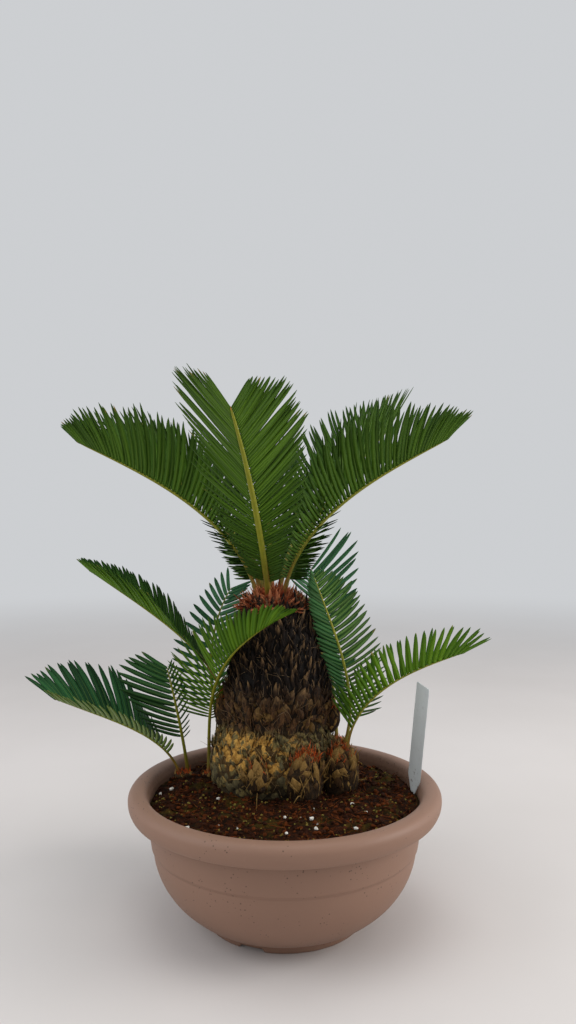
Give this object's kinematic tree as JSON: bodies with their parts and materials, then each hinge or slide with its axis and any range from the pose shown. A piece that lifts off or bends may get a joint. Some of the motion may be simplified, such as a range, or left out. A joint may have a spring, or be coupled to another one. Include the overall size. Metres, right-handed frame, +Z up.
{
  "type": "potted sago palm",
  "caption": "Sago palm with a stout scaly trunk, side shoots and arching feather fronds, standing in a wide round bowl pot filled with soil",
  "frame": {"origin": "centre of the pot's flat underside, on the surface it stands on", "axes": "+Z up, -Y towards the side seen in the picture, +X to its right"},
  "size_m": [0.4695, 0.4126, 0.5177],
  "materials": {
    "pot": "matt taupe",
    "soil": "moist peat",
    "trunk": "rough leaf-base armour",
    "crown_scales": "dry felted scales",
    "side_shoots": "rough scales",
    "buds": "rough scales",
    "plant_label": "blank satin plastic",
    "crown_fronds": "satin green leaflets",
    "shoot_fronds": "satin green leaflets"
  },
  "bodies": {
    "root": {"pot": "pot", "soil": "soil", "trunk": "trunk", "crown_scales": "crown_scales", "plant_label": "plant_label", "pup_front": "side_shoots", "pup_right": "side_shoots", "pup_left": "side_shoots", "pup_side": "side_shoots", "pup_back_left": "side_shoots", "pup_back_right": "side_shoots", "bud_left": "buds", "bud_right": "buds", "bud_low": "buds", "frond_left_low_inner": "crown_fronds", "frond_left_low_outer": "crown_fronds", "frond_left_high_inner": "crown_fronds", "frond_left_high_outer": "crown_fronds", "frond_front_inner": "crown_fronds", "frond_front_outer": "crown_fronds", "frond_right_low_inner": "crown_fronds", "frond_right_low_outer": "crown_fronds", "frond_right_high_inner": "crown_fronds", "frond_right_high_outer": "crown_fronds", "frond_back_right_inner": "crown_fronds", "frond_back_right_outer": "crown_fronds", "frond_back_inner": "crown_fronds", "frond_back_outer": "crown_fronds", "frond_back_left_inner": "crown_fronds", "frond_back_left_outer": "crown_fronds", "frond_pup_left_out_inner": "shoot_fronds", "frond_pup_left_out_outer": "shoot_fronds", "frond_pup_left_up_inner": "shoot_fronds", "frond_pup_left_up_outer": "shoot_fronds", "frond_pup_side_inner": "shoot_fronds", "frond_pup_side_outer": "shoot_fronds", "frond_bud_left_inner": "shoot_fronds", "frond_bud_left_outer": "shoot_fronds", "frond_pup_back_left_inner": "shoot_fronds", "frond_pup_back_left_outer": "shoot_fronds", "frond_pup_right_out_inner": "shoot_fronds", "frond_pup_right_out_outer": "shoot_fronds", "frond_pup_right_up_inner": "shoot_fronds", "frond_pup_right_up_outer": "shoot_fronds", "frond_pup_back_right_inner": "shoot_fronds", "frond_pup_back_right_outer": "shoot_fronds"}
  },
  "joints": []
}
